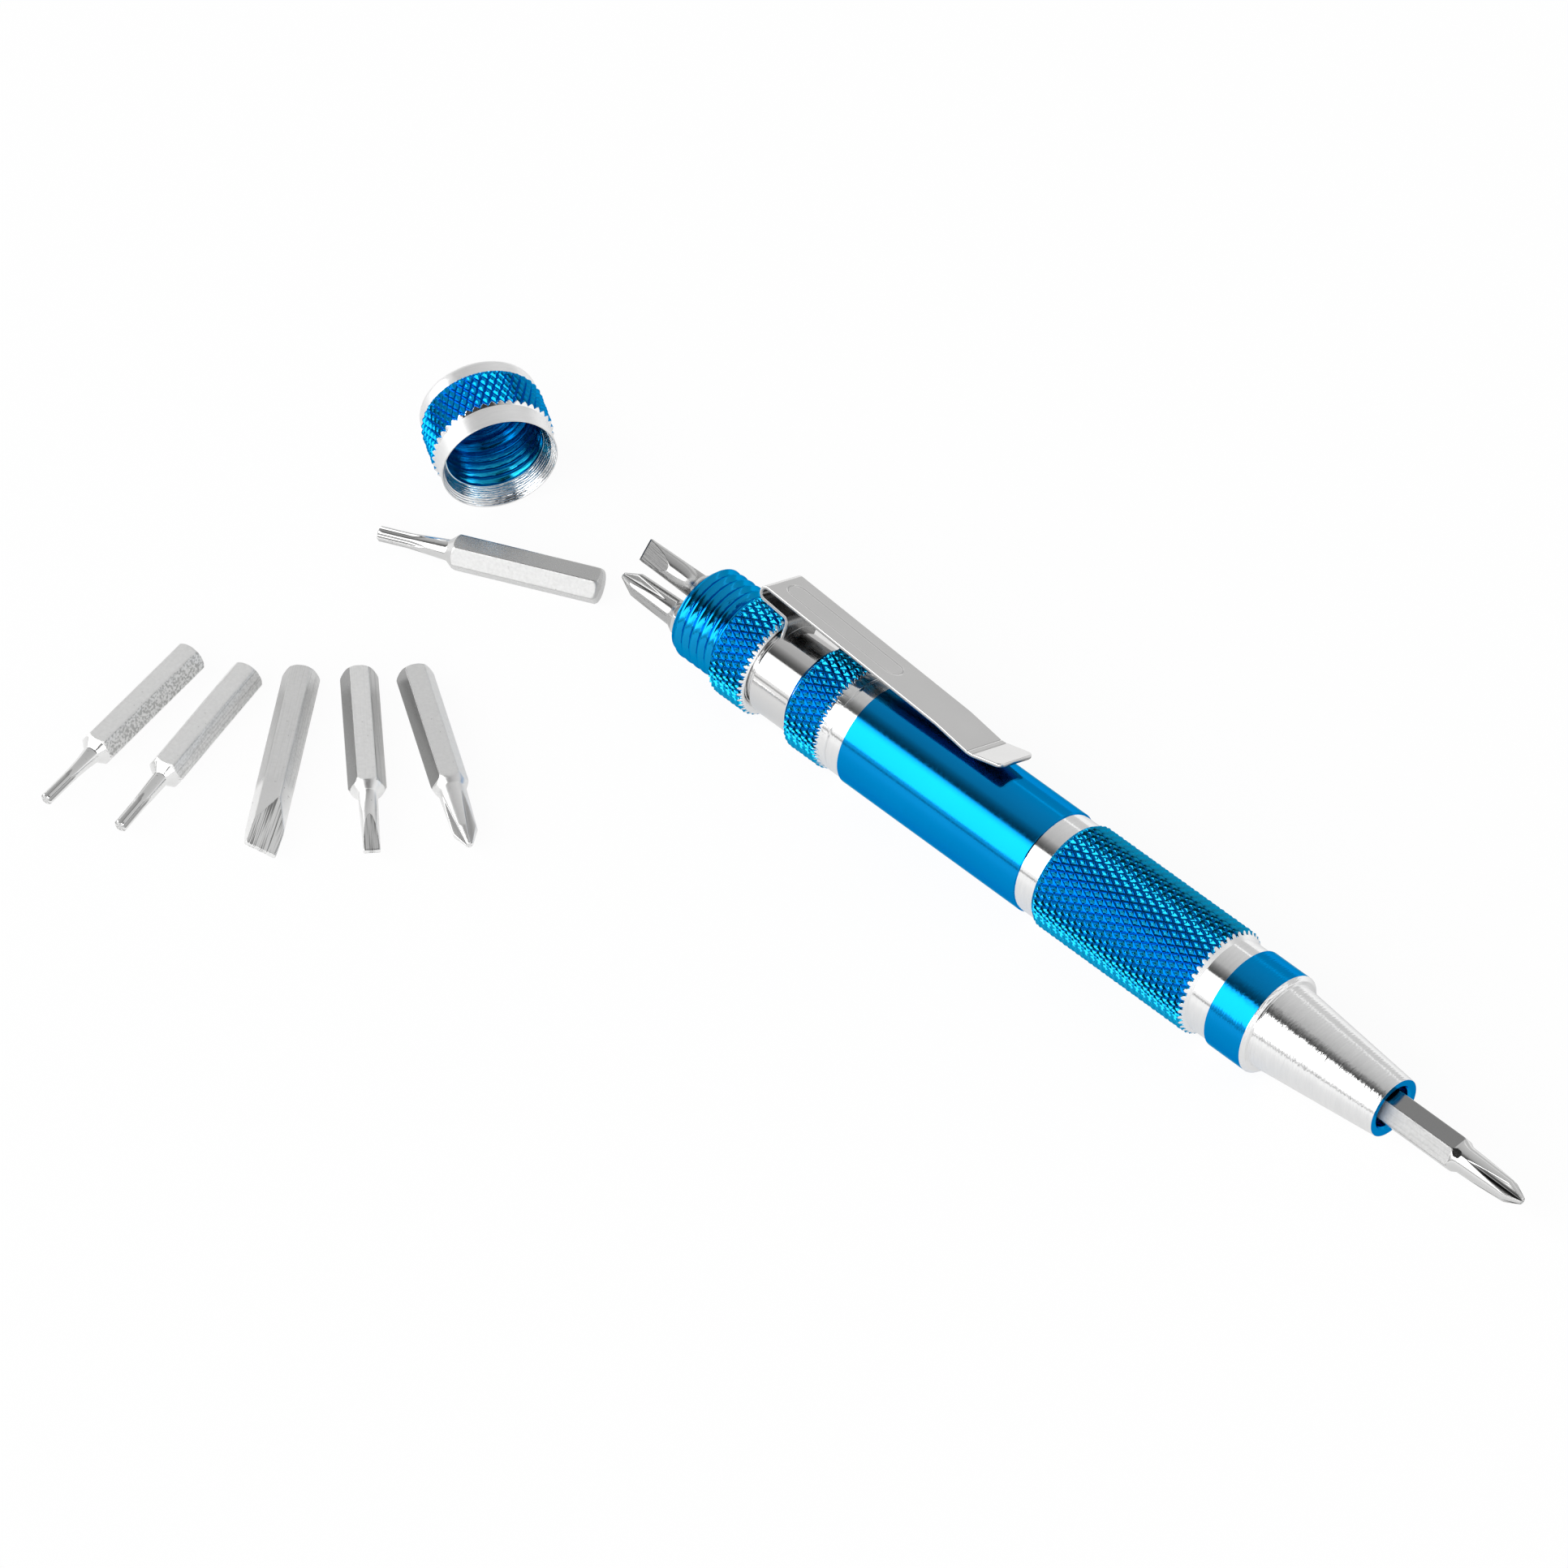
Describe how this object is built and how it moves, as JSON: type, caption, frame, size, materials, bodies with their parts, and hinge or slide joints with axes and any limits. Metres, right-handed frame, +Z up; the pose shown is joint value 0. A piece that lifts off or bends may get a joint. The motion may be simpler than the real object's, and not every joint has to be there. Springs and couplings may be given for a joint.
{
  "type": "pocket screwdriver",
  "caption": "Pen-shaped pocket screwdriver: knurled aluminium barrel with spring clip, magnetic hex nose, bit store under a screw cap, and interchangeable driver bits.",
  "frame": {"origin": "on the barrel's axis, at the shoulder that the screw cap seats on, where the tail thread ends", "axes": "+X along the barrel's axis towards the driver tip, +Z up with the driver lying on its side, loose bits on the -Y side"},
  "size_m": [0.1762, 0.0828, 0.0173],
  "materials": {
    "anodised_blue": "blue anodised, glossy, knurled or fine-turned",
    "turned_aluminium": "bright turned, fine circumferential lines",
    "socket_steel": "plain steel, dark inside",
    "magnet_nickel": "nickel plated",
    "clip_chrome": "chrome plated spring steel",
    "bit_steel": "satin nickel plated tool steel"
  },
  "bodies": {
    "driver": {"barrel": "anodised_blue", "nose": "turned_aluminium", "hex_sleeve": "socket_steel", "magnet": "magnet_nickel"},
    "clip_band": {"clip_band": "clip_chrome"},
    "clip_arm": {"clip_arm": "clip_chrome"},
    "cap": {"cap": "anodised_blue"},
    "cross_bit_chuck": {"cross_bit_chuck": "bit_steel"},
    "blade_bit_store": {"blade_bit_store": "bit_steel"},
    "cross_bit_store": {"cross_bit_store": "bit_steel"},
    "star_bit_large": {"star_bit_large": "bit_steel"},
    "star_bit_small": {"star_bit_small": "bit_steel"},
    "star_bit_middle": {"star_bit_middle": "bit_steel"},
    "blade_bit_full": {"blade_bit_full": "bit_steel"},
    "blade_bit_narrow": {"blade_bit_narrow": "bit_steel"},
    "cross_bit_row": {"cross_bit_row": "bit_steel"}
  },
  "joints": [
    {"name": "clip_swivel", "type": "hinge", "parent": "driver", "child": "clip_band", "pos_m": [0, 0, 0], "axis": [1, 0, 0], "range_deg": [-80, 125]},
    {"name": "clip_flex", "type": "hinge", "parent": "clip_band", "child": "clip_arm", "pos_m": [0.00225, 0.00358, 0.00804], "axis": [0, -0.9135, 0.4067], "range_deg": [0, 7], "stiffness_Nm_per_rad": 0.5},
    {"name": "cap_lift", "type": "slide", "parent": "driver", "child": "cap", "axis": [0, 0, 1], "range_m": [0, 0.03]},
    {"name": "chuck_bit_pull", "type": "slide", "parent": "driver", "child": "cross_bit_chuck", "axis": [1, 0, 0], "range_m": [0, 0.0085]},
    {"name": "store_blade_pull", "type": "slide", "parent": "driver", "child": "blade_bit_store", "axis": [-1, 0, 0], "range_m": [-0.063, 0.019]},
    {"name": "store_cross_pull", "type": "slide", "parent": "driver", "child": "cross_bit_store", "axis": [-1, 0, 0], "range_m": [-0.0638, 0.0182]},
    {"name": "star_large_lift", "type": "slide", "parent": "driver", "child": "star_bit_large", "axis": [0, 0, 1], "range_m": [0, 0.03]},
    {"name": "star_small_lift", "type": "slide", "parent": "driver", "child": "star_bit_small", "axis": [0, 0, 1], "range_m": [0, 0.03]},
    {"name": "star_middle_lift", "type": "slide", "parent": "driver", "child": "star_bit_middle", "axis": [0, 0, 1], "range_m": [0, 0.03]},
    {"name": "blade_full_lift", "type": "slide", "parent": "driver", "child": "blade_bit_full", "axis": [0, 0, 1], "range_m": [0, 0.03]},
    {"name": "blade_narrow_lift", "type": "slide", "parent": "driver", "child": "blade_bit_narrow", "axis": [0, 0, 1], "range_m": [0, 0.03]},
    {"name": "cross_row_lift", "type": "slide", "parent": "driver", "child": "cross_bit_row", "axis": [0, 0, 1], "range_m": [0, 0.03]}
  ]
}
